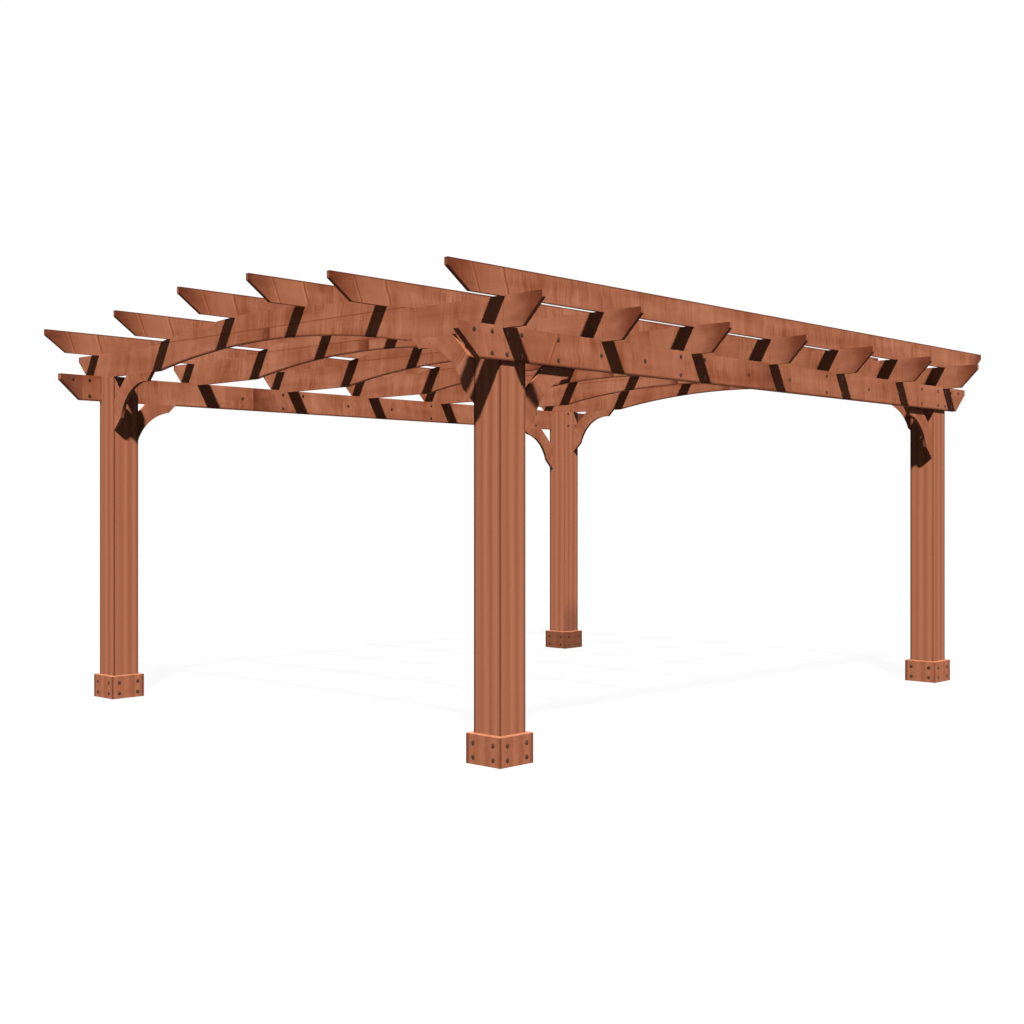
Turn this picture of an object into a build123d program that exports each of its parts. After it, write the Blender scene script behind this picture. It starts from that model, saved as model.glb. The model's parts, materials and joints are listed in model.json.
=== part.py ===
"""Arched garden pergola: four posts, two headers, seven arched rafters, six purlins, eight curved braces.

Millimetres, +Z up. The origin is on the ground under the middle of the roof. The headers and purlins
run along X and the rafters run along Y. The purlins reach further past the right hand posts, so the
posts stand a little left of the middle. The front and the back are the same.
"""

import os

from build123d import *

# Boards
BOARD = 27.0  # thickness of the rafters, purlins and braces
HEADER_BOARD = 40.0
SEAT_PLAY = 0.5  # clearance on each side of a board lying in a notch

# Posts
POST = 200.0
POST_X = 2510.0  # centre of each post along the headers, out from the middle of the four
POST_Y = 1965.0  # the same along the rafters
POST_TOP = 2365.0  # also the underside of the rafters' flat tails

# Collars round the feet of the posts
COLLAR_BOARD = 30.0
COLLAR_HEIGHT = 168.0
COLLAR_PLAY = 0.3
COLLAR_BEVEL = 4.0

# Headers, let into the outer face of the posts
HEADER_DEPTH = 184.0
HEADER_LAP = 12.0  # how far the board stands up into the rafters, past the tops of the posts
HEADER_OVERHANG = 430.0  # past the middle of the post
HEADER_PROUD = 15.0  # how far the board stands out from the post
HEADER_NOSE = 42.0  # square end left above the slanted cut
HEADER_SLANT = 160.0  # length of the slanted cut

# Rafters
RAFTER_OVERHANG = 406.0  # past the middle of the post
RAFTER_DEPTH = 177.0  # of the flat tails
RAFTER_NOSE = 37.0
RAFTER_ARCH_HALF = 1391.0  # the top arch starts this far from the middle
RAFTER_TOP_RISE = 126.0  # crown of the top arch above the flat tails
RAFTER_BELLY_HALF = 1278.0
RAFTER_BELLY_RISE = 113.0  # crown of the underside above the flat tails
RAFTER_SPACING = 882.0  # of the five inner rafters, one of them in the middle
RAFTER_SET_IN = 40.0  # of the right end rafter, from the posts' outer face

# Purlins
PURLIN_OVERHANG_LEFT = 527.0  # past the middle of the post
PURLIN_OVERHANG_RIGHT = 690.0
PURLIN_DEPTH = 157.0
PURLIN_NOSE = 41.0
PURLIN_SLANT = 164.0
PURLIN_LAP = 8.0  # depth of the seats cut in the top of the rafters
PURLIN_OUTER = 2089.0  # out from the middle, on both sides
PURLIN_MIDDLE = 1136.0
PURLIN_INNER = 370.0

# Curved braces
HEADER_BRACE_HEAD = 425.0  # reach along the header
RAFTER_BRACE_HEAD = 505.0  # reach along the rafter
BRACE_FOOT = 395.0  # reach down the post
BRACE_HEEL = 172.0  # legs of the open triangle left in the corner
BRACE_HEAD_NIB = 60.0
BRACE_FOOT_NIB = 90.0
BRACE_RADIUS = 336.0
BRACE_SET_IN = 14.0  # header braces stand this far inside the posts' outer face

HEADER_REACH = POST_X + HEADER_OVERHANG
RAFTER_REACH = POST_Y + RAFTER_OVERHANG
PURLIN_LEFT = -POST_X - PURLIN_OVERHANG_LEFT
PURLIN_RIGHT = POST_X + PURLIN_OVERHANG_RIGHT
RAFTER_LEFT = BOARD / 2 - POST_X - POST / 2  # flush with the posts
RAFTER_RIGHT = -RAFTER_LEFT - RAFTER_SET_IN
PURLIN_ROWS = (PURLIN_INNER, PURLIN_MIDDLE, PURLIN_OUTER)
HEADER_TOP = POST_TOP + HEADER_LAP
HEADER_BOTTOM = HEADER_TOP - HEADER_DEPTH
HEADER_Y = POST_Y + POST / 2 + HEADER_PROUD - HEADER_BOARD / 2
RAFTER_TOP = POST_TOP + RAFTER_DEPTH
ROOF_MIDDLE = (PURLIN_LEFT + PURLIN_RIGHT) / 2
CORNERS = {
    "front_left": (-1, -1),
    "front_right": (1, -1),
    "back_left": (-1, 1),
    "back_right": (1, 1),
}


def box_between(low, high):
    """A block from one corner to the opposite one."""
    size = [b - a for a, b in zip(low, high)]
    middle = [(a + b) / 2 for a, b in zip(low, high)]
    return Pos(*middle) * Box(*size)


def slab(plane, edges, thickness=BOARD):
    """A board cut to a closed outline, its thickness centred on the plane."""
    face = make_face(edges)
    return extrude(plane * face, amount=thickness / 2, both=True)


def beam(y, ends, bottom, depth, nose, slant, thickness):
    """A straight board on edge along X, with a slanted cut under each end."""
    left, right = ends
    top = bottom + depth
    outline = Polyline(
        (left, top),
        (left, top - nose),
        (left + slant, bottom),
        (right - slant, bottom),
        (right, top - nose),
        (right, top),
        close=True,
    )
    return slab(Plane.XZ.offset(-y), outline, thickness)


def rafter_top(y):
    """Height of a rafter's top edge: a flat tail, or the arch that spans between the tails."""
    if abs(y) > RAFTER_ARCH_HALF:
        return RAFTER_TOP
    radius = (RAFTER_ARCH_HALF**2 + RAFTER_TOP_RISE**2) / (2 * RAFTER_TOP_RISE)
    return RAFTER_TOP + RAFTER_TOP_RISE - radius + (radius**2 - y**2) ** 0.5


def post(sx, sy):
    """A square post with a rebate in its outer face that carries the header."""
    body = Pos(sx * POST_X, sy * POST_Y, POST_TOP / 2) * Box(POST, POST, POST_TOP)
    y_in = sy * (HEADER_Y - HEADER_BOARD / 2)
    y_out = sy * (HEADER_Y + HEADER_BOARD)
    x_mid = sx * POST_X
    rebate = box_between(
        (x_mid - POST, min(y_in, y_out), HEADER_BOTTOM),
        (x_mid + POST, max(y_in, y_out), HEADER_TOP),
    )
    return body - rebate


def collar(sx, sy):
    """Four boards round the foot of a post, with an eased top edge."""
    inner = POST + 2 * COLLAR_PLAY
    outer = inner + 2 * COLLAR_BOARD
    ring = extrude(Rectangle(outer, outer) - Rectangle(inner, inner), amount=COLLAR_HEIGHT)
    top = ring.faces().sort_by(Axis.Z)[-1]
    ring = chamfer(top.outer_wire().edges(), COLLAR_BEVEL)
    return Pos(sx * POST_X, sy * POST_Y, 0) * ring


def header(sy):
    """The board that ties two posts together and carries the rafters."""
    ends = (-HEADER_REACH, HEADER_REACH)
    return beam(
        sy * HEADER_Y, ends, HEADER_BOTTOM, HEADER_DEPTH, HEADER_NOSE, HEADER_SLANT, HEADER_BOARD
    )


def rafter(x):
    """An arched board, notched under for the headers and on top for the purlins."""
    slant = RAFTER_DEPTH - RAFTER_NOSE
    tail = [
        (RAFTER_BELLY_HALF, POST_TOP),
        (RAFTER_REACH - slant, POST_TOP),
        (RAFTER_REACH, RAFTER_TOP - RAFTER_NOSE),
        (RAFTER_REACH, RAFTER_TOP),
        (RAFTER_ARCH_HALF, RAFTER_TOP),
    ]
    far_tail = [(-u, v) for u, v in tail]
    crown = (0, RAFTER_TOP + RAFTER_TOP_RISE)
    belly = (0, POST_TOP + RAFTER_BELLY_RISE)
    edges = [
        Polyline(*tail),
        ThreePointArc(tail[-1], crown, far_tail[-1]),
        Polyline(*far_tail),
        ThreePointArc(tail[0], belly, far_tail[0]),
    ]
    body = slab(Plane.YZ.offset(x), edges)
    gap = HEADER_BOARD / 2 + SEAT_PLAY
    notch = BOARD / 2 + SEAT_PLAY
    for side in (-1, 1):
        y = side * HEADER_Y
        body -= box_between((x - BOARD, y - gap, 0), (x + BOARD, y + gap, HEADER_TOP))
        for row in PURLIN_ROWS:
            y = side * row
            seat = rafter_top(y) - PURLIN_LAP
            body -= box_between((x - BOARD, y - notch, seat), (x + BOARD, y + notch, seat + PURLIN_DEPTH))
    return body


def purlin(y):
    """A board across all the rafters, in the seats cut for it."""
    seat = rafter_top(y) - PURLIN_LAP
    return beam(y, (PURLIN_LEFT, PURLIN_RIGHT), seat, PURLIN_DEPTH, PURLIN_NOSE, PURLIN_SLANT, BOARD)


def brace_outline(reach):
    """The curved brace, u from the post out to its reach and v up to the beam at zero."""
    head = (reach - BRACE_HEAD_NIB, -BRACE_HEAD_NIB)
    foot = (BRACE_FOOT_NIB, BRACE_FOOT_NIB - BRACE_FOOT)
    return [
        Polyline(foot, (0, -BRACE_FOOT), (0, -BRACE_HEEL), (BRACE_HEEL, 0), (reach, 0), head),
        RadiusArc(head, foot, -BRACE_RADIUS),
    ]


def header_brace(sx, sy):
    """A brace between a post and the underside of the header."""
    x = sx * (POST_X - POST / 2)
    y = sy * (POST_Y + POST / 2 - BRACE_SET_IN - BOARD / 2)
    plane = Plane(origin=(x, y, HEADER_BOTTOM), x_dir=(-sx, 0, 0), z_dir=(0, sx, 0))
    return slab(plane, brace_outline(HEADER_BRACE_HEAD))


def rafter_brace(sx, sy):
    """A brace between a post and the underside of an end rafter."""
    x = RAFTER_RIGHT if sx > 0 else RAFTER_LEFT
    y = sy * (POST_Y - POST / 2)
    plane = Plane(origin=(x, y, POST_TOP), x_dir=(0, -sy, 0), z_dir=(-sy, 0, 0))
    return slab(plane, brace_outline(RAFTER_BRACE_HEAD))


def build():
    """Every piece of the frame under its node name."""
    parts = {}
    for corner, (sx, sy) in CORNERS.items():
        parts["post_" + corner] = post(sx, sy)
        parts["collar_" + corner] = collar(sx, sy)
        parts["header_brace_" + corner] = header_brace(sx, sy)
        parts["rafter_brace_" + corner] = rafter_brace(sx, sy)
    parts["header_front"] = header(-1)
    parts["header_back"] = header(1)
    inner = [step * RAFTER_SPACING for step in range(-2, 3)]
    for number, x in enumerate([RAFTER_LEFT, *inner, RAFTER_RIGHT], 1):
        parts["rafter_" + str(number)] = rafter(x)
    rows = [-row for row in reversed(PURLIN_ROWS)]
    for number, y in enumerate([*rows, *PURLIN_ROWS], 1):
        parts["purlin_" + str(number)] = purlin(y)
    return parts


os.makedirs("parts", exist_ok=True)
for name, piece in build().items():
    shape = Pos(-ROOF_MIDDLE, 0, 0) * piece
    shape.label = name
    export_step(shape, "parts/" + name + ".step")
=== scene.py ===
import bpy
import json
import math
import numpy as np
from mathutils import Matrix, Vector

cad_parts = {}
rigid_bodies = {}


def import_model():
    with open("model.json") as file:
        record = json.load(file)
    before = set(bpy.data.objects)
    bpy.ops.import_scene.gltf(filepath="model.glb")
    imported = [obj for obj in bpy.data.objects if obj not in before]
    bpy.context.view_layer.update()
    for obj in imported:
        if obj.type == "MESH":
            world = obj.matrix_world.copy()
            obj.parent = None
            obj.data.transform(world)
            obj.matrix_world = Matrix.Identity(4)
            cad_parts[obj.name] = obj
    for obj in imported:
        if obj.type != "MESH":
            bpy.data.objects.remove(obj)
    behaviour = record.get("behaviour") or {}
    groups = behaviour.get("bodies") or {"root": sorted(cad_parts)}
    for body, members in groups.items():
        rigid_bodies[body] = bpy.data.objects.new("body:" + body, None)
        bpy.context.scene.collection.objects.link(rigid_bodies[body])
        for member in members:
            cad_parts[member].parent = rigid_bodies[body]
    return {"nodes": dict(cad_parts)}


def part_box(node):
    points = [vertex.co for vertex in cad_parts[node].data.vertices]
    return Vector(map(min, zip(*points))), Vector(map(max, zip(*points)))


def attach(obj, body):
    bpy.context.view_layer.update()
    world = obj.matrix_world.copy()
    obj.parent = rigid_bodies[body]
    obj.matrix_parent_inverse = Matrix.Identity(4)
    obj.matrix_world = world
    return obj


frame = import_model()
scene = bpy.context.scene
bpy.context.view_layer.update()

# Metres throughout. X runs along the headers and purlins, Y along the rafters, and Z up.
BEAM_X_MIDDLE = -0.0815  # the headers are centred on the posts, not on the roof
POST_ALONG = 2.510  # middle of each post along the headers, out from the middle of the four
POST_OUT = 1.965  # the same along the rafters
POST_HALF = 0.100
POST_TOP = 2.365  # also the underside of the rafters' flat tails
BELLY_HALF, BELLY_RISE = 1.278, 0.113  # the arch under a rafter
HEADER_BRACE_REACH = 0.425
BRACE_HEEL, BRACE_FOOT, BRACE_RADIUS = 0.172, 0.395, 0.336
BRACE_HEAD_NIB, BRACE_FOOT_NIB = 0.060, 0.090
DIAGONAL = math.sqrt(0.5)

CORNERS = {
    "front_left": (BEAM_X_MIDDLE - POST_ALONG, -POST_OUT),
    "front_right": (BEAM_X_MIDDLE + POST_ALONG, -POST_OUT),
    "back_left": (BEAM_X_MIDDLE - POST_ALONG, POST_OUT),
    "back_right": (BEAM_X_MIDDLE + POST_ALONG, POST_OUT),
}


def paint(r, g, b):
    """Linear colour from the 0 to 255 numbers of a paint card."""
    linear = []
    for value in (r, g, b):
        value /= 255
        linear.append(value / 12.92 if value <= 0.04045 else ((value + 0.055) / 1.055) ** 2.4)
    return (*linear, 1.0)


CEDAR_DEEP, CEDAR_PALE = paint(141, 76, 48), paint(187, 121, 91)
CEDAR_STAINED, CEDAR_LINES = paint(106, 53, 35), paint(100, 49, 30)
# Colour of the painted shade at the foot of the far right post
CEDAR_FOOT_SHADE = paint(86, 50, 36)
CEDAR_BOUNCE = paint(60, 50, 46)
BOLT_DARK, BOLT_WORN = paint(70, 46, 34), paint(98, 70, 54)
WASHER_DARK, WASHER_WORN = paint(104, 66, 48), paint(132, 86, 64)


# ---------------------------------------------------------------- node work


class Reading:
    """The output of a node, which adds, multiplies and divides like a number."""

    def __init__(self, bench, socket):
        self.bench = bench
        self.socket = socket

    def by(self, kind, *others):
        return self.bench.maths(kind, self, *others)

    def __add__(self, other):
        return self.by("ADD", other)

    def __sub__(self, other):
        return self.by("SUBTRACT", other)

    def __rsub__(self, other):
        return self.bench.maths("SUBTRACT", other, self)

    def __mul__(self, other):
        return self.by("MULTIPLY", other)

    def __truediv__(self, other):
        return self.by("DIVIDE", other)

    def __abs__(self):
        return self.by("ABSOLUTE")

    __radd__ = __add__
    __rmul__ = __mul__

    def ramp(self, start, end):
        """0 up to start and 1 from end, with a smooth rise or fall between."""
        node = self.bench.lay("ShaderNodeMapRange", interpolation_type="SMOOTHSTEP")
        self.bench.feed(node.inputs["Value"], self)
        self.bench.feed(node.inputs["From Min"], start)
        self.bench.feed(node.inputs["From Max"], end)
        return Reading(self.bench, node.outputs["Result"])


class Bench:
    """Lays nodes in one tree. Every input takes a number or a reading."""

    def __init__(self, tree):
        self.tree = tree

    def lay(self, kind, **settings):
        node = self.tree.nodes.new(kind)
        for key, value in settings.items():
            setattr(node, key, value)
        return node

    def feed(self, socket, value):
        if isinstance(value, Reading):
            self.tree.links.new(value.socket, socket)
        elif isinstance(value, bpy.types.NodeSocket):
            self.tree.links.new(value, socket)
        else:
            socket.default_value = value

    def maths(self, kind, *values):
        node = self.lay("ShaderNodeMath", operation=kind)
        for socket, value in zip(node.inputs, values):
            self.feed(socket, value)
        return Reading(self, node.outputs[0])

    def vector(self, x, y, z):
        node = self.lay("ShaderNodeCombineXYZ")
        for socket, value in zip(node.inputs, (x, y, z)):
            self.feed(socket, value)
        return Reading(self, node.outputs[0])

    def noise(self, x, y, z, detail=2.0, roughness=0.5):
        """Cloudy noise from 0 to 1 whose spots are one unit wide."""
        node = self.lay("ShaderNodeTexNoise")
        self.feed(node.inputs["Vector"], self.vector(x, y, z))
        node.inputs["Scale"].default_value = 1.0
        node.inputs["Detail"].default_value = detail
        node.inputs["Roughness"].default_value = roughness
        return Reading(self, node.outputs["Fac"])

    def mix(self, share, usual, other):
        """The usual colour, giving way to the other by the share."""
        node = self.lay("ShaderNodeMix", data_type="RGBA")
        for number, value in ((0, share), (6, usual), (7, other)):
            self.feed(node.inputs[number], value)
        return Reading(self, node.outputs[2])

    def mix_shader(self, share, usual, other):
        """The usual shader, giving way to the other by the share."""
        node = self.lay("ShaderNodeMixShader")
        for socket, value in zip(node.inputs, (share, usual.outputs[0], other.outputs[0])):
            self.feed(socket, value)
        return node

    def plain(self, kind, colour, strength=None):
        """A shader of one colour, and of one strength where it has that."""
        node = self.lay(kind)
        node.inputs["Color"].default_value = colour
        if strength is not None:
            node.inputs["Strength"].default_value = strength
        return node

    def rays(self, first, *others):
        """1 for a ray of any of the named kinds."""
        path = self.lay("ShaderNodeLightPath")
        seen = Reading(self, path.outputs["Is %s Ray" % first])
        for kind in others:
            seen = seen.by("MAXIMUM", Reading(self, path.outputs["Is %s Ray" % kind]))
        return seen

    def relief(self, shader, height, strength, depth):
        """Fine relief on a shader, as deep as the height says."""
        bump = self.lay("ShaderNodeBump")
        bump.inputs["Strength"].default_value = strength
        bump.inputs["Distance"].default_value = depth
        self.feed(bump.inputs["Height"], height)
        self.feed(shader.inputs["Normal"], bump.outputs[0])

    def use(self, group, **values):
        """Places a group; underscores in the names of its inputs stand for spaces."""
        node = self.lay("ShaderNodeGroup", node_tree=group)
        for key, value in values.items():
            self.feed(node.inputs[key.replace("_", " ")], value)
        return {out.name: Reading(self, out) for out in node.outputs}

    def hand_over(self, shader, kind="ShaderNodeOutputMaterial"):
        """Makes the shader the surface of the material or world."""
        self.feed(self.lay(kind).inputs[0], shader.outputs[0])


def new_group(name, takes, gives):
    """A shader node group with its named inputs at their usual values, and its named outputs."""
    tree = bpy.data.node_groups.new(name, "ShaderNodeTree")
    for label, usual in takes.items():
        kind = "NodeSocketColor" if isinstance(usual, tuple) else "NodeSocketFloat"
        tree.interface.new_socket(label, in_out="INPUT", socket_type=kind).default_value = usual
    for label, kind in gives.items():
        tree.interface.new_socket(label, in_out="OUTPUT", socket_type="NodeSocket" + kind)
    bench = Bench(tree)
    start = bench.lay("NodeGroupInput")
    end = bench.lay("NodeGroupOutput")
    given = {socket.name: Reading(bench, socket) for socket in start.outputs if socket.name}
    return tree, bench, given, end.inputs


# ---------------------------------------------------------------- shared effects

ARRIS_GAPS = 7  # the most surfaces that a timber's edges lie between

# Spots of noise to a metre, along a board and across it
FIGURE_RATE = {
    "sway": (2.2, 7.0),
    "patches": (4.0, 5.0),
    "streaks": (60.0, 6.0),
    "bands": (10.0, 1.6),
    "broad": (1.5, 7.0),
    "breaks": (3.0, 14.0),
    "smudges": (9.0, 5.0),
    "blotches": (9.0, 16.0),
    "fibres": (2.2, 260.0),
    "pores": (22.0, 900.0),
}
STRIP_RATE = 4.6  # strips to a metre
SWAY_WIDTH = 0.07  # how far the streaks sway
FIBRE_SWAY_WIDTH = 0.05
THROUGH_RATE = 9.0  # how fast the figure changes through a board


def make_arris_line():
    """Darker line along the arrises of a timber.

    Each gap is how far a point lies below one of the timber's surfaces. A point on one surface has
    one gap of nothing, and a point at an edge has two, so the nearness to all the surfaces, added
    up and less one, is the nearness to an edge.
    """
    gaps = ["Gap %d" % number for number in range(1, ARRIS_GAPS + 1)]
    takes = {**{label: 1.0 for label in gaps}, "Width": 0.006}
    tree, bench, given, out = new_group("arris_line", takes, {"Line": "Float"})
    total = -1.0
    for label in gaps:
        total = total + (1.0 - abs(given[label]) / given["Width"]).by("MAXIMUM", 0.0)
    bench.feed(out["Line"], total.ramp(0.0, 1.0))
    return tree


def make_cross_figure():
    """Figure that crosses a board: fine streaks, broad bands, strips with a seam between, smudges.

    The streaks are noise drawn out across the board, on a distance along it that leans and sways,
    and the seams are the borders of strips of uneven width along that same distance. What is added
    to the seed only keeps one pattern apart from the next.
    """
    takes = {"Along": 0.0, "Across": 0.0, "Through": 0.0, "Lean": 0.12, "Seed": 0.0}
    gives = {kind: "Float" for kind in ("Fine", "Bands", "Broad", "Strips", "Seams", "Smudges")}
    tree, bench, given, out = new_group("cross_figure", takes, gives)
    along, across, seed = given["Along"], given["Across"], given["Seed"]

    def spots(kind, run, third, detail, roughness=0.5):
        per_metre_along, per_metre_across = FIGURE_RATE[kind]
        return bench.noise(run * per_metre_along, across * per_metre_across, third, detail, roughness)

    sway = spots("sway", along, seed, 1.0) - 0.5
    way = along + across * given["Lean"] + sway * SWAY_WIDTH
    inside = given["Through"] * THROUGH_RATE + seed
    patch = spots("patches", along, seed + 31.0, 1.0).ramp(0.42, 0.62)
    fine = spots("streaks", way, inside, 3.0, 0.65) - 0.5
    bench.feed(out["Fine"], fine * (0.2 + patch * 0.8) + 0.5)
    bench.feed(out["Bands"], spots("bands", way, inside + 4.0, 2.0))
    bench.feed(out["Broad"], spots("broad", along, seed + 41.0, 2.0))
    bench.feed(out["Smudges"], spots("smudges", way, seed + 21.0, 2.0).ramp(0.56, 0.74))

    borders = bench.lay("ShaderNodeTexVoronoi", voronoi_dimensions="1D", feature="DISTANCE_TO_EDGE")
    tones = bench.lay("ShaderNodeTexVoronoi", voronoi_dimensions="1D", feature="F1")
    for node in (borders, tones):
        bench.feed(node.inputs["W"], way * STRIP_RATE + seed * 7.0)
        node.inputs["Scale"].default_value = 1.0
    tone = bench.lay("ShaderNodeSeparateColor")
    bench.feed(tone.inputs[0], tones.outputs["Color"])
    bench.feed(out["Strips"], tone.outputs[0])
    breaks_along, breaks_across = FIGURE_RATE["breaks"]
    drawn = bench.noise(across * breaks_across, along * breaks_along, seed + 11.0, 1.0).ramp(0.38, 0.62)
    bench.feed(out["Seams"], Reading(bench, borders.outputs["Distance"]).ramp(0.016, 0.002) * drawn)
    return tree


def make_long_grain():
    """Grain that runs along a timber: fibres and pores are noise drawn out along it."""
    takes = {"Along": 0.0, "Across": 0.0, "Through": 0.0, "Seed": 0.0}
    tree, bench, given, out = new_group("long_grain", takes, {"Fine": "Float", "Pores": "Float"})
    along, seed = given["Along"], given["Seed"]
    sway = bench.noise(along * 0.9, given["Across"] * 3.0, seed, 1.0) - 0.5
    across = given["Across"] + sway * FIBRE_SWAY_WIDTH

    def drawn_out(kind, detail, roughness=0.5):
        length, width = FIGURE_RATE[kind]
        return bench.noise(along * length, across * width, given["Through"] * width + seed, detail, roughness)

    bench.feed(out["Fine"], drawn_out("fibres", 3.0, 0.6))
    bench.feed(out["Pores"], drawn_out("pores", 1.0).ramp(0.62, 0.74))
    return tree


def make_leaning_seam():
    """One thin dark seam across a board with a pale line beside it, that leans and has a soft kink."""
    takes = {"Along": 0.0, "Across": 0.0, "Place": 0.0, "Lean": 0.2, "Kink": 0.0, "Width": 0.005}
    tree, bench, given, out = new_group("leaning_seam", takes, {"Dark": "Float", "Pale": "Float"})
    kink = (given["Across"].ramp(0.11, 0.04) - 0.5) * given["Kink"]
    off = given["Along"] - given["Place"] + given["Across"] * given["Lean"] - kink
    beside = off + given["Width"] * 2.2
    bench.feed(out["Dark"], (abs(off) / given["Width"]).ramp(1.0, 0.3))
    bench.feed(out["Pale"], (abs(beside) / given["Width"]).ramp(1.0, 0.3))
    return tree


def make_end_stain():
    """Stain soaked in from an end: full at no distance, gone at Reach, stopped short at Cut."""
    takes = {"Distance": 1.0, "Along": 0.0, "Across": 0.0, "Reach": 0.25, "Cut": 9.0, "Seed": 0.0}
    tree, bench, given, out = new_group("end_stain", takes, {"Stain": "Float"})
    distance, cut = given["Distance"], given["Cut"]
    per_metre_along, per_metre_across = FIGURE_RATE["blotches"]
    run, rise = given["Along"] * per_metre_along, given["Across"] * per_metre_across
    blotch = bench.noise(run, rise, given["Seed"] + 3.0, 2.0) - 0.5
    soaked = distance / given["Reach"] + blotch * 0.9
    left_over = (1.0 - soaked).by("MAXIMUM", 0.0).by("MINIMUM", 1.0)
    within = distance.ramp(-0.004, 0.0) * distance.ramp(cut + 0.004, cut)
    bench.feed(out["Stain"], left_over.by("POWER", 1.3) * within)
    return tree


def make_stained_cedar():
    """Colour, roughness and height of stained cedar from its masks.

    Shade slides the colour from deep to pale, and stain, pores and lines pull it towards their own
    colours. On the far right post the stain input carries painted shade at the foot.
    """
    takes = {
        "Deep": CEDAR_DEEP,
        "Pale": CEDAR_PALE,
        "Stained": CEDAR_STAINED,
        "Lines": CEDAR_LINES,
        "Shade": 0.5,
        "Stain": 0.0,
        "Line": 0.0,
        "Pores": 0.0,
        "Fibre": 0.5,
    }
    gives = {"Color": "Color", "Roughness": "Float", "Height": "Float"}
    tree, bench, given, out = new_group("stained_cedar", takes, gives)
    stain, line, pores, fibre = given["Stain"], given["Line"], given["Pores"], given["Fibre"]
    colour = bench.mix(given["Shade"], given["Deep"], given["Pale"])
    colour = bench.mix(stain, colour, given["Stained"])
    colour = bench.mix(pores * 0.22, colour, given["Lines"])
    colour = bench.mix(line, colour, given["Lines"])
    bench.feed(out["Color"], colour)
    bench.feed(out["Roughness"], 0.66 + fibre * 0.14 + pores * 0.08 - stain * 0.08)
    bench.feed(out["Height"], fibre * 0.6 - pores * 0.5 - line * 0.6)
    return tree


ARRIS_LINE = make_arris_line()
CROSS_FIGURE = make_cross_figure()
LONG_GRAIN = make_long_grain()
LEANING_SEAM = make_leaning_seam()
END_STAIN = make_end_stain()
STAINED_CEDAR = make_stained_cedar()


# ---------------------------------------------------------------- finishes

BOARD_SHADE = 0.45
# How strongly each part of the figure shows on the roof's boards
FIGURE_SHARE = {"Bands": 0.9, "Fine": 1.4, "Broad": 1.2, "Strips": 0.22}
MARK_SHARE = {"Smudges": 0.2, "Seams": 0.48}
FIBRE_SHARE = 0.3
TAIL_CALM = 0.65  # how far the figure gives way to a plain shade near an end

PURLIN_FIGURE = 1.1
HEADER_STAIN_CUT = 0.172  # the stain at a header's ends stops this far in
HEADER_FRONT_JOINT, HEADER_BACK_JOINT = 0.060, -1.240  # where a board ends, along the header
RAFTER_JOINT = 0.190  # height of the glued joint above the tails' underside
RAFTER_PATTERN_START = 0.018  # the two halves' patterns start this far before their ends
RAFTER_STAIN, RAFTER_STAIN_MORE = 0.17, 0.15  # how far stain reaches in, and how much further in front

POST_LOOK = {"pitch": 0.072, "wave": 0.20, "shade": 0.54, "line": 0.024, "mottle": 0.0}
COLLAR_LOOK = {"pitch": 0.090, "wave": 0.16, "shade": 0.48, "line": 0.035, "mottle": 0.4}
# Streaks on both: how many to a metre up and across, and how strongly they show
UPRIGHT_STREAK, UPRIGHT_NARROW, UPRIGHT_FIBRE = (0.35, 75.0, 0.5), (0.8, 210.0, 0.32), 0.18
MOTTLE_RATE = 26.0  # spots to a metre
WAVE_START = 0.28  # part of a wave that lies off the left edge of a side
WAVE_SWAY = 0.02  # how far the waves sway
UPPER_FACE_PAINTED_LIGHT = 0.5  # painted light: how much paler the upper faces are made
FRONT_LINE = 0.014  # width of the line on the arris between the front and the left side
# How dark the arris between the front and the left side is
FRONT_ARRIS = {"front_left": 0.8, "back_left": 0.95, "front_right": 0.35, "back_right": 0.15}
# Only at the back right: painted shade that darkens the foot, how strong on the front and on the other sides,
# and how high up it goes
POST_FOOT_SHADE = (0.36, 0.0, 0.52)
COLLAR_FOOT_SHADE = (0.62, 0.50, 9.0)


def new_material(name):
    """An empty material, and the bench that lays its nodes."""
    material = bpy.data.materials.new(name)
    material.use_nodes = True
    material.node_tree.nodes.clear()
    return material, Bench(material.node_tree)


def place_of(bench, origin):
    """The three distances from an origin in the frame, and the way that the face looks."""
    coords = bench.lay("ShaderNodeTexCoord")
    shift = bench.lay("ShaderNodeMapping", vector_type="POINT")
    bench.feed(shift.inputs["Vector"], coords.outputs["Object"])
    shift.inputs["Location"].default_value = [-value for value in origin]
    apart = bench.lay("ShaderNodeSeparateXYZ")
    bench.feed(apart.inputs[0], shift.outputs[0])
    looks = bench.lay("ShaderNodeSeparateXYZ")
    bench.feed(looks.inputs[0], coords.outputs["Normal"])
    return [Reading(bench, s) for s in apart.outputs], [Reading(bench, s) for s in looks.outputs]


def finish_timber(bench, shade, stain, line, pores, fibre, **colours):
    """The last nodes of every timber: its colour, its sheen and its fine relief.

    Light that has bounced off another timber meets a dull dark surface, which keeps shadows deep.
    """
    masks = {"Shade": shade, "Stain": stain, "Line": line, "Pores": pores, "Fibre": fibre}
    look = bench.use(STAINED_CEDAR, **masks, **colours)
    wood = bench.lay("ShaderNodeBsdfPrincipled")
    wood.inputs["Specular IOR Level"].default_value = 0.06
    bench.feed(wood.inputs["Base Color"], look["Color"])
    bench.feed(wood.inputs["Roughness"], look["Roughness"])
    bench.relief(wood, look["Height"], strength=0.35, depth=0.0012)
    dull = bench.plain("ShaderNodeBsdfDiffuse", CEDAR_BOUNCE)
    bench.hand_over(bench.mix_shader(bench.rays("Diffuse"), wood, dull))


def middles(low, high):
    """Middle of a box, and half its size."""
    return [(a + b) / 2 for a, b in zip(low, high)], [(b - a) / 2 for a, b in zip(low, high)]


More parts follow.
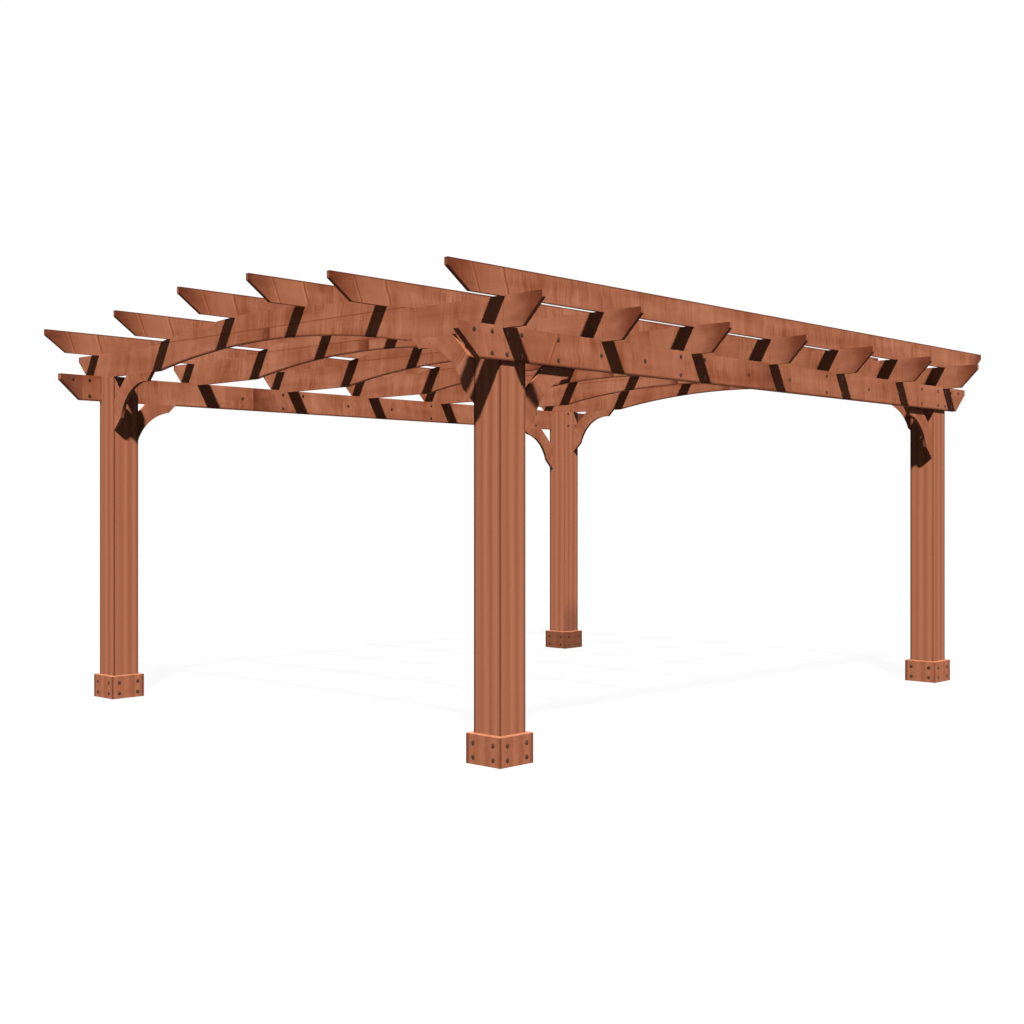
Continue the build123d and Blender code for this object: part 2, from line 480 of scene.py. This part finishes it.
def calm_tail(shade, distance, where, fade, rise, shades):
    """The shade with its figure calmed near an end, where a plain shade takes over.

    The figure fades out over one stretch of the distance from the end, and the plain shade goes
    from the first of its two shades to the second over another.
    """
    low, high = shades
    share = distance.ramp(*fade) * where * TAIL_CALM
    plain = distance.ramp(*rise) * (high - low) + low
    return shade * (1.0 - share) + plain * share


def seam(bench, along, across, dark, pale=0.0, **line):
    """What one leaning seam takes from the shade; the pale line beside it gives a little back."""
    marks = bench.use(LEANING_SEAM, Along=along, Across=across, **line)
    taken = marks["Dark"] * dark
    return taken - marks["Pale"] * pale if pale else taken


def soaked_in(bench, distance, along, across, seed, reach, **more):
    """Stain that comes in from an end or a joint."""
    place = {"Distance": distance, "Along": along, "Across": across}
    return bench.use(END_STAIN, Seed=seed, Reach=reach, **place, **more)["Stain"]


def board_shade(bench, along, across, through, seed, depth=1.0):
    """Shade, fibre and pores of a roof board, with its figure as strong as the depth says."""
    place = {"Along": along, "Across": across, "Through": through, "Seed": seed}
    cross = bench.use(CROSS_FIGURE, **place)
    grain = bench.use(LONG_GRAIN, **place)
    figure = 0.0
    for kind, share in FIGURE_SHARE.items():
        figure = figure + (cross[kind] - 0.5) * share
    for kind, share in MARK_SHARE.items():
        figure = figure - cross[kind] * share
    shade = BOARD_SHADE + figure * depth + (grain["Fine"] - 0.5) * FIBRE_SHARE
    return shade, grain["Fine"] * 0.7 + cross["Fine"] * 0.3, grain["Pores"]


def purlin_finish(name, seed):
    """Both ends stained, two seams in the left overhang, and a dark line along the top."""
    low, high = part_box(name)
    middle, half = middles(low, high)
    material, bench = new_material("cedar_" + name)
    (x, y, z), looks = place_of(bench, (0, middle[1], low[2]))
    from_left, from_right = x + half[0], half[0] - x
    gaps = {"Gap_1": 2 * half[2] - z, "Gap_2": half[1] - abs(y), "Gap_3": half[0] - abs(x)}
    top_line = bench.use(ARRIS_LINE, Width=0.014, **gaps)["Line"]
    shade, fibre, pores = board_shade(bench, x, z, y, seed, PURLIN_FIGURE)
    shade = calm_tail(shade, from_left, 1.0, fade=(0.50, 0.40), rise=(0.04, 0.36), shades=(0.02, 0.68))
    first = {"Place": 0.238, "Lean": 0.40, "Width": 0.006}
    second = {"Place": 0.450, "Lean": 0.18, "Kink": 0.012, "Width": 0.008}
    shade = shade - seam(bench, from_left, z, dark=0.55, pale=0.25, **first)
    shade = shade - seam(bench, from_left, z, dark=0.8, pale=0.2, **second)
    left = soaked_in(bench, from_left, x, z, seed, reach=0.24)
    right = soaked_in(bench, from_right, x, z, seed + 5, reach=0.25)
    stain = left.by("MAXIMUM", right) * abs(looks[1])
    finish_timber(bench, shade, stain, top_line * 0.95, pores, fibre)
    return material


def header_finish(name, seed):
    """Stained ends, a stained step at a joint in the board, and a dark line along the bottom, partly an edge
    line and partly painted shade under the edge.
    """
    low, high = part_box(name)
    middle, half = middles(low, high)
    material, bench = new_material("cedar_" + name)
    (x, y, z), looks = place_of(bench, (BEAM_X_MIDDLE, middle[1], low[2]))
    face = abs(looks[1])
    from_end = half[0] - abs(x)
    shade, fibre, pores = board_shade(bench, x, z, y, seed)
    # The dark line along the bottom edges is partly an edge line and partly painted shade of the shadowed
    # underside
    line = bench.use(ARRIS_LINE, Gap_1=z, Gap_2=half[1] - abs(y), Width=0.015)["Line"]
    if name == "header_front":
        shade = shade - seam(bench, x, z, dark=0.6, pale=0.25, Place=-2.233, Lean=-0.455, Width=0.008)
        # The second seam is a pale one
        shade = shade - seam(bench, x, z, dark=-0.25, Place=-2.802, Lean=0.0)
        end = soaked_in(bench, from_end, x, z, seed, reach=0.30, Cut=HEADER_STAIN_CUT) * 0.2
        step = soaked_in(bench, HEADER_FRONT_JOINT - x, x, z, seed + 3, reach=0.32) * 0.75
    else:
        end = soaked_in(bench, from_end, x, z, seed, reach=0.44, Cut=HEADER_STAIN_CUT)
        step = soaked_in(bench, x - HEADER_BACK_JOINT, x, z, seed + 3, reach=0.26)
        # No line from the brace's tip to the post's far edge
        brace_tip = POST_ALONG - POST_HALF - HEADER_BRACE_REACH
        post_edge = POST_ALONG + POST_HALF
        out = abs(x)
        carried = out.ramp(brace_tip - 0.010, brace_tip) * out.ramp(post_edge + 0.005, post_edge - 0.005)
        line = line * (1.0 - carried)
    finish_timber(bench, shade, end.by("MAXIMUM", step) * face, line * 0.95 * face, pores, fibre)
    return material


def rafter_finish(name, seed):
    """Two halves that start afresh, a glued joint along them, and a dark line along the arch."""
    low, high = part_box(name)
    middle, half = middles(low, high)
    material, bench = new_material("cedar_" + name)
    (x, y, z), looks = place_of(bench, (middle[0], 0, POST_TOP))
    face = abs(looks[0])
    radius = (BELLY_HALF**2 + BELLY_RISE**2) / (2 * BELLY_RISE)
    above_centre = z + (radius - BELLY_RISE)
    to_belly = (y * y + above_centre * above_centre).by("SQRT") - radius
    belly = bench.use(ARRIS_LINE, Gap_1=to_belly, Gap_2=half[0] - abs(x), Width=0.013)["Line"]
    shade, fibre, pores = board_shade(bench, y, z, x, seed)
    start = (y + (half[1] + RAFTER_PATTERN_START)).by("MODULO", half[1])
    front = y.ramp(0.0, -0.01)
    where = front * face
    shade = calm_tail(shade, start, where, fade=(0.38, 0.28), rise=(0.05, 0.20), shades=(-0.4, 0.65))
    lower = z.ramp(RAFTER_JOINT + 0.003, RAFTER_JOINT - 0.003)
    glue = (abs(z - RAFTER_JOINT) / 0.006).ramp(1.0, 0.3)
    shade = shade - seam(bench, start, z, dark=0.4, pale=0.2, Place=1.715, Lean=0.30)
    shade = shade - seam(bench, start, z, dark=0.3, Place=0.300, Lean=0.0, Width=0.004) * lower
    stain = soaked_in(bench, start, y, z, seed, reach=RAFTER_STAIN + front * RAFTER_STAIN_MORE) * lower
    finish_timber(bench, shade - glue * 0.5, stain * face, belly * face * 0.9, pores, fibre)
    return material


def upright_finish(name, seed, centre, half, look, front_arris, painted_foot_shade):
    """Posts and collars: streaks that stand upright, the same on each side seen from outside.

    Across a side they rise and fall as a cosine, deeper towards the right hand side. The arrises
    are dark, less so in front. The upper faces are painted paler, as painted light, and where asked,
    painted shade darkens the foot.
    """
    material, bench = new_material("cedar_" + name)
    (x, y, z), (look_x, look_y, look_z) = place_of(bench, (*centre, 0))
    # How much a face looks up; it carries the painted light that makes upper faces paler
    up = look_z.by("MAXIMUM", 0.0)
    across = y * look_x - x * look_y  # from the middle of a side to its right
    level = across + half
    grain = bench.use(LONG_GRAIN, Along=z, Across=x, Through=y, Seed=seed)
    sway = (bench.noise(z * 1.1, across * 4.0, seed, detail=1.0) - 0.5) * WAVE_SWAY
    wave = ((level + sway) / look["pitch"] - WAVE_START).by("MULTIPLY", 2 * math.pi).by("COSINE")
    wave = wave * (0.35 + 0.65 * across.ramp(-0.7 * half, -0.1 * half))
    shade = look["shade"] + wave * look["wave"]
    own_seeds = seed + look_x * 3.0, seed + look_x * 5.0 + 7.0  # so the left and right sides differ
    for (rate_up, rate_across, strength), own in zip((UPRIGHT_STREAK, UPRIGHT_NARROW), own_seeds):
        streak = bench.noise(z * rate_up, level * rate_across, own, roughness=0.6)
        shade = shade + (streak - 0.5) * strength
    # The upper faces, such as the collars' tops, are painted paler: painted light
    shade = shade + (grain["Fine"] - 0.5) * UPRIGHT_FIBRE + up * UPPER_FACE_PAINTED_LIGHT
    if look["mottle"]:
        mottle = bench.noise(level * MOTTLE_RATE, z * MOTTLE_RATE, seed + 17.0) - 0.5
        shade = shade + mottle * look["mottle"]
    front = (x + y).ramp(-1.6 * half, -1.7 * half)
    right = (x - y).ramp(1.6 * half, 1.7 * half)
    width = look["line"] - front * (look["line"] - FRONT_LINE)
    line = bench.use(ARRIS_LINE, Gap_1=half - abs(x), Gap_2=half - abs(y), Width=width)["Line"]
    line = line * (1.0 - front * (1.0 - front_arris) - right * 0.4) * (1.0 - up) * 0.95
    # Painted shade: on the far right post the sides darken towards the foot
    stain = 0.0
    if painted_foot_shade:
        front_shade, side_shade, top = painted_foot_shade
        foot_shade = side_shade + look_y.ramp(0.0, -1.0) * (front_shade - side_shade)
        stain = (1.0 - up) * foot_shade * z.ramp(top, top * 0.55)
    finish_timber(bench, shade, stain, line, grain["Pores"], grain["Fine"], Stained=CEDAR_FOOT_SHADE)
    return material


def brace_finish(name, seed, along_x):
    """The gaps follow the brace's outline: post side, beam side, heel, the two nibs and the curve.

    u goes out from the post and v down from the beam. The curve is a circle through the two nibs'
    inner corners, whose centre lies away from the corner of post and beam.
    """
    low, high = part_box(name)
    middle, half = middles(low, high)
    material, bench = new_material("cedar_" + name)
    run, side = (0, 1) if along_x else (1, 0)
    inward = 1.0 if middle[run] < (BEAM_X_MIDDLE if along_x else 0.0) else -1.0
    origin = list(middle)
    origin[run] = low[run] if inward > 0 else high[run]
    origin[2] = high[2]
    place, _ = place_of(bench, origin)
    u, v, through = place[run] * inward, 0.0 - place[2], place[side]
    reach = 2 * half[run]
    head = np.array([reach - BRACE_HEAD_NIB, BRACE_HEAD_NIB])
    foot = np.array([BRACE_FOOT_NIB, BRACE_FOOT - BRACE_FOOT_NIB])
    chord = head - foot
    length = np.hypot(*chord)
    away = np.array([-chord[1], chord[0]]) / length
    away = away if away.sum() > 0 else -away
    centre = (head + foot) / 2 + away * math.sqrt(BRACE_RADIUS**2 - length**2 / 4)
    du, dv = u - float(centre[0]), v - float(centre[1])
    diagonal = u + v
    gaps = [
        u,
        v,
        half[side] - abs(through),
        (diagonal - BRACE_HEEL) * DIAGONAL,
        (reach - diagonal) * DIAGONAL,
        (BRACE_FOOT - diagonal) * DIAGONAL,
        (du * du + dv * dv).by("SQRT") - BRACE_RADIUS,
    ]
    line = bench.use(ARRIS_LINE, **{"Gap_%d" % number: gap for number, gap in enumerate(gaps, 1)})["Line"]
    shade, fibre, pores = board_shade(bench, (u - v) * DIAGONAL, diagonal * DIAGONAL, through, seed)
    finish_timber(bench, shade, 0.0, line * 0.12, pores, fibre)
    return material


def dress_timbers():
    """Gives every timber its own finish, with its own seed."""
    finishes = {}
    for k, (corner, centre) in enumerate(CORNERS.items()):
        # Only the far right post gets painted shade at its foot
        foot_shade = corner == "back_right"
        arris = FRONT_ARRIS[corner]
        post, collar = "post_" + corner, "collar_" + corner
        finishes[post] = upright_finish(
            post, 3.1 * k, centre, POST_HALF, POST_LOOK, arris, POST_FOOT_SHADE if foot_shade else None
        )
        _, half = middles(*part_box(collar))
        finishes[collar] = upright_finish(
            collar, 40 + 2.3 * k, centre, half[0], COLLAR_LOOK, 0.4 + arris / 2, COLLAR_FOOT_SHADE if foot_shade else None
        )
        under_header, under_rafter = "header_brace_" + corner, "rafter_brace_" + corner
        finishes[under_header] = brace_finish(under_header, 60 + 2.7 * k, along_x=True)
        finishes[under_rafter] = brace_finish(under_rafter, 75 + 2.9 * k, along_x=False)
    for k, name in enumerate(("header_front", "header_back")):
        finishes[name] = header_finish(name, 20 + 3.7 * k)
    for k in range(1, 8):
        name = "rafter_%d" % k
        finishes[name] = rafter_finish(name, 90 + 1.9 * k)
    for k in range(1, 7):
        name = "purlin_%d" % k
        finishes[name] = purlin_finish(name, 130 + 2.1 * k)
    for name, node in frame["nodes"].items():
        node.data.materials.clear()
        node.data.materials.append(finishes[name])


# ---------------------------------------------------------------- bolts

WASHER_RADIUS, WASHER_THICK, WASHER_EASE = 0.0140, 0.0014, 0.0008
HEAD_FLATS, HEAD_HIGH = 0.0155, 0.0034
CROWN_RADIUS = HEAD_FLATS * 0.46
BOLT_SIDES = 12
BOLT_TURN = 0.6  # each head is turned this much further than the last, in radians

# Along each header, out from its middle: one above another, in the middle of its depth, and high up
BOLT_TOP, BOLT_MIDDLE, BOLT_BOTTOM = 2.342, 2.285, 2.226
BOLT_ROWS = {
    "front": (
        (-2.689, -2.573, -2.456, -2.155, -1.003, -0.749, 0.740, 0.949, 2.187, 2.464, 2.582, 2.690),
        (-1.777, -1.364, -0.253, 0.251, 1.343, 1.800),
        (-2.825, 2.818),
    ),
    "back": (
        (-2.709, -2.573, -2.456, -0.942, -0.733, 0.744, 0.965, 2.175, 2.460, 2.575, 2.690),
        (-1.348, -0.243, 0.260, 1.350, 1.779),
        (-2.842, 2.834),
    ),
}
# On each side of a collar: out from its middle, and up
COLLAR_BOLT_OUT, COLLAR_BOLT_HEIGHTS = 0.076, (0.040, 0.118)


def bolt_rings():
    """One bolt end as rings of twelve points round Z, from the timber up to the crown.

    A washer ring keeps its radius all the way round. A head ring is a hexagon: at a turn t its
    radius is half the distance across the flats, divided by the cosine of t taken from the middle
    of the nearest flat.
    """
    turn = np.arange(BOLT_SIDES) * 2 * np.pi / BOLT_SIDES
    hexagon = HEAD_FLATS / 2 / np.cos(np.abs(turn % (np.pi / 3) - np.pi / 6))
    circle = np.ones(BOLT_SIDES)
    radii = np.array([
        circle * WASHER_RADIUS,
        circle * WASHER_RADIUS,
        circle * (WASHER_RADIUS - WASHER_EASE),
        hexagon,
        hexagon,
        circle * CROWN_RADIUS,
    ])
    heights = np.array([
        0.0,
        WASHER_THICK * 0.7,
        WASHER_THICK,
        WASHER_THICK,
        WASHER_THICK + HEAD_HIGH * 0.8,
        WASHER_THICK + HEAD_HIGH,
    ])
    across = np.stack([radii * np.cos(turn), radii * np.sin(turn)], axis=-1)
    up = np.broadcast_to(heights[:, None, None], (*radii.shape, 1))
    return np.concatenate([across, up], axis=-1)


def bolt_set(name, spots, finish):
    """All the bolt ends of one timber: spots holds a place and the way it points out.

    A point of a ring goes to its place, plus its first distance along the side, its second along
    the up and its height along the way out, once the ring is turned.
    """
    rings = bolt_rings()
    rows, sides, _ = rings.shape
    ring = rings.reshape(-1, 3)
    place, out = (np.array(column, float) for column in zip(*spots))
    side = np.cross([0, 0, 1], out)
    up = np.cross(out, side)
    turn = BOLT_TURN * np.arange(len(spots))[:, None]
    along_side = ring[:, 0] * np.cos(turn) - ring[:, 1] * np.sin(turn)
    along_up = ring[:, 0] * np.sin(turn) + ring[:, 1] * np.cos(turn)
    parts = ((along_side, side), (along_up, up), (ring[None, :, 2], out))
    points = place[:, None] + sum(length[:, :, None] * way[:, None] for length, way in parts)

    # Quads between one ring and the next, and one face over the crown
    here = np.arange(sides)
    after = (here + 1) % sides
    base = np.arange(rows - 1)[:, None] * sides
    quads = np.stack([base + here, base + after, base + after + sides, base + here + sides], axis=-1)
    crown = here + (rows - 1) * sides
    first = np.arange(len(spots))[:, None, None] * len(ring)
    faces = (first + quads.reshape(-1, 4)).reshape(-1, 4).tolist() + (first[:, 0] + crown).tolist()

    mesh = bpy.data.meshes.new(name)
    mesh.from_pydata(points.reshape(-1, 3).tolist(), [], faces)
    lift = mesh.attributes.new("lift", "FLOAT", "POINT")
    lift.data.foreach_set("value", np.tile(ring[:, 2], len(spots)).astype(np.float32))
    mesh.materials.append(finish)
    piece = bpy.data.objects.new(name, mesh)
    scene.collection.objects.link(piece)
    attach(piece, "root")


def bolt_finish():
    """Dark brown coated steel, a little worn; the lift of a point tells washer from head."""
    material, bench = new_material("bolt_bronze")
    (x, y, z), _ = place_of(bench, (0, 0, 0))
    worn = bench.noise(x * 240.0, y * 240.0, z * 240.0, 3.0, 0.6)
    patch = bench.noise(x * 70.0, y * 70.0, z * 70.0, 1.0)
    rubbed = worn.ramp(0.35, 0.7)
    lift = bench.lay("ShaderNodeAttribute", attribute_name="lift")
    head = Reading(bench, lift.outputs["Fac"]).ramp(WASHER_THICK * 0.8, WASHER_THICK * 1.4)
    washer = bench.mix(rubbed, WASHER_DARK, WASHER_WORN)
    steel = bench.lay("ShaderNodeBsdfPrincipled")
    bench.feed(steel.inputs["Base Color"], bench.mix(head, washer, bench.mix(rubbed, BOLT_DARK, BOLT_WORN)))
    bench.feed(steel.inputs["Roughness"], 0.28 + patch * 0.14)
    bench.feed(steel.inputs["Metallic"], head * 0.7)
    steel.inputs["Specular IOR Level"].default_value = 0.12
    bench.relief(steel, worn, strength=0.2, depth=0.0004)
    bench.hand_over(steel)
    return material


def fit_header_bolts(side, way, finish):
    """Bolts show on both faces of a header, or on the inner face of the post behind it."""
    low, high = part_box("header_" + side)
    outer, inner = (low[1], high[1]) if way < 0 else (high[1], low[1])
    pairs, middle_row, tips = BOLT_ROWS[side]
    spots = [(out, z) for out in pairs for z in (BOLT_TOP, BOLT_BOTTOM)]
    spots += [(out, BOLT_MIDDLE) for out in middle_row] + [(out, BOLT_TOP) for out in tips]
    ends = []
    for out, z in spots:
        x = BEAM_X_MIDDLE + out
        through_post = abs(abs(out) - POST_ALONG) < POST_HALF
        behind = way * (POST_OUT - POST_HALF) if through_post else inner
        ends += [((x, outer, z), (0, way, 0)), ((x, behind, z), (0, -way, 0))]
    bolt_set("bolts_header_" + side, ends, finish)


def fit_collar_bolts(corner, centre, finish):
    """Two bolts above two on every face of a collar."""
    _, half = middles(*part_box("collar_" + corner))
    ends = []
    for way_x, way_y in ((1, 0), (-1, 0), (0, 1), (0, -1)):
        for shift in (-COLLAR_BOLT_OUT, COLLAR_BOLT_OUT):
            x = centre[0] + way_x * half[0] + abs(way_y) * shift
            y = centre[1] + way_y * half[0] + abs(way_x) * shift
            ends += [((x, y, z), (way_x, way_y, 0)) for z in COLLAR_BOLT_HEIGHTS]
    bolt_set("bolts_collar_" + corner, ends, finish)


def fit_bolts():
    """Every bolt end of the pergola, in one finish."""
    finish = bolt_finish()
    fit_header_bolts("front", -1, finish)
    fit_header_bolts("back", 1, finish)
    for corner, centre in CORNERS.items():
        fit_collar_bolts(corner, centre, finish)


# ---------------------------------------------------------------- studio

GROUND_SIZE, GROUND_DROP = 400, 0.001
GROUND_GLOW = 0.94  # the rest of the ground's white comes from the lamps, and holds the shadow
GROUND_LIT, GROUND_DIM = (0.8, 0.8, 0.8, 1), (0.05, 0.05, 0.05, 1)
WHITE = (1, 1, 1, 1)
SKY_COLOUR, SKY_STRENGTH = (0.95, 1.0, 1.1, 1), 0.064

SUN_TRAVEL, SUN_STRENGTH, SUN_SPREAD = (0.552, 0.563, -1.0), 6.75, 3.0
FILL_TRAVEL, FILL_STRENGTH, FILL_SPREAD = (-0.6, -0.7, -0.35), 2.2, 25.0
FAR_POST = ("post_back_right", "collar_back_right", "bolts_collar_back_right")
ROUND_FAR_POST = (*FAR_POST, "header_back", "header_brace_back_right", "rafter_brace_back_right", "rafter_7")

CAMERA_PLACE = (-8.0395, -7.204, 1.392)
CAMERA_AHEAD = (0.72697, 0.68668)  # the level way that it looks, along X and Y
CAMERA_LENS, CAMERA_SHIFT = 48.4453125, -0.0029296875


def make_floor():
    """A broad ground, white to the eye and dim to the timber, that keeps a faint shadow."""
    bpy.ops.mesh.primitive_plane_add(size=GROUND_SIZE, location=(0, 0, -GROUND_DROP))
    floor = bpy.context.object
    floor.name = "ground"
    material, bench = new_material("ground_white")
    lit = bench.plain("ShaderNodeBsdfDiffuse", GROUND_LIT)
    glow = bench.plain("ShaderNodeEmission", WHITE)
    dim = bench.plain("ShaderNodeBsdfDiffuse", GROUND_DIM)
    white = bench.mix_shader(GROUND_GLOW, lit, glow)
    bench.hand_over(bench.mix_shader(bench.rays("Camera", "Glossy"), dim, white))
    floor.data.materials.append(material)


def make_world():
    """White to the eye, and a low even light on the timber."""
    world = bpy.data.worlds.new("studio")
    scene.world = world
    world.use_nodes = True
    world.node_tree.nodes.clear()
    bench = Bench(world.node_tree)
    white = bench.plain("ShaderNodeBackground", WHITE)
    low = bench.plain("ShaderNodeBackground", SKY_COLOUR, SKY_STRENGTH)
    seen = bench.rays("Camera", "Glossy", "Transmission")
    bench.hand_over(bench.mix_shader(seen, low, white), "ShaderNodeOutputWorld")


def sun(name, travel, strength, spread):
    """A distant lamp whose light travels along the given direction."""
    data = bpy.data.lights.new(name, "SUN")
    data.energy = strength
    data.angle = math.radians(spread)
    lamp = bpy.data.objects.new(name, data)
    lamp.rotation_euler = Vector(travel).to_track_quat("-Z", "Y").to_euler()
    scene.collection.objects.link(lamp)
    return lamp


def share(name, chosen, leave_out=False):
    """A collection for light linking that takes in the chosen pieces, or leaves them out."""
    group = bpy.data.collections.new(name)
    for piece in scene.objects:
        if piece.name in chosen:
            group.objects.link(piece)
    if leave_out:
        for entry in group.collection_objects:
            entry.light_linking.link_state = "EXCLUDE"
    return group


def light_up():
    """One low hard sun, with the far right post in clear light, and a soft fill from behind."""
    key = sun("key_sun", SUN_TRAVEL, SUN_STRENGTH, SUN_SPREAD)
    key.light_linking.receiver_collection = share("not_far_post", FAR_POST, leave_out=True)
    clear = sun("key_sun_far_post", SUN_TRAVEL, SUN_STRENGTH, SUN_SPREAD)
    clear.light_linking.receiver_collection = share("far_post", FAR_POST)
    clear.light_linking.blocker_collection = share("round_far_post", ROUND_FAR_POST)
    sun("back_fill", FILL_TRAVEL, FILL_STRENGTH, FILL_SPREAD)


def make_camera():
    """Level with a walker's eye, looking at the near corner."""
    data = bpy.data.cameras.new("camera")
    data.sensor_width = 36.0
    data.lens = CAMERA_LENS
    data.shift_y = CAMERA_SHIFT
    data.clip_end = 1000
    camera = bpy.data.objects.new("camera", data)
    camera.location = CAMERA_PLACE
    ahead_x, ahead_y = CAMERA_AHEAD
    camera.rotation_euler = (math.pi / 2, 0, math.atan2(ahead_y, ahead_x) - math.pi / 2)
    scene.collection.objects.link(camera)
    scene.camera = camera


dress_timbers()
fit_bolts()
make_floor()
make_world()
light_up()
make_camera()
scene.view_settings.view_transform = "Standard"
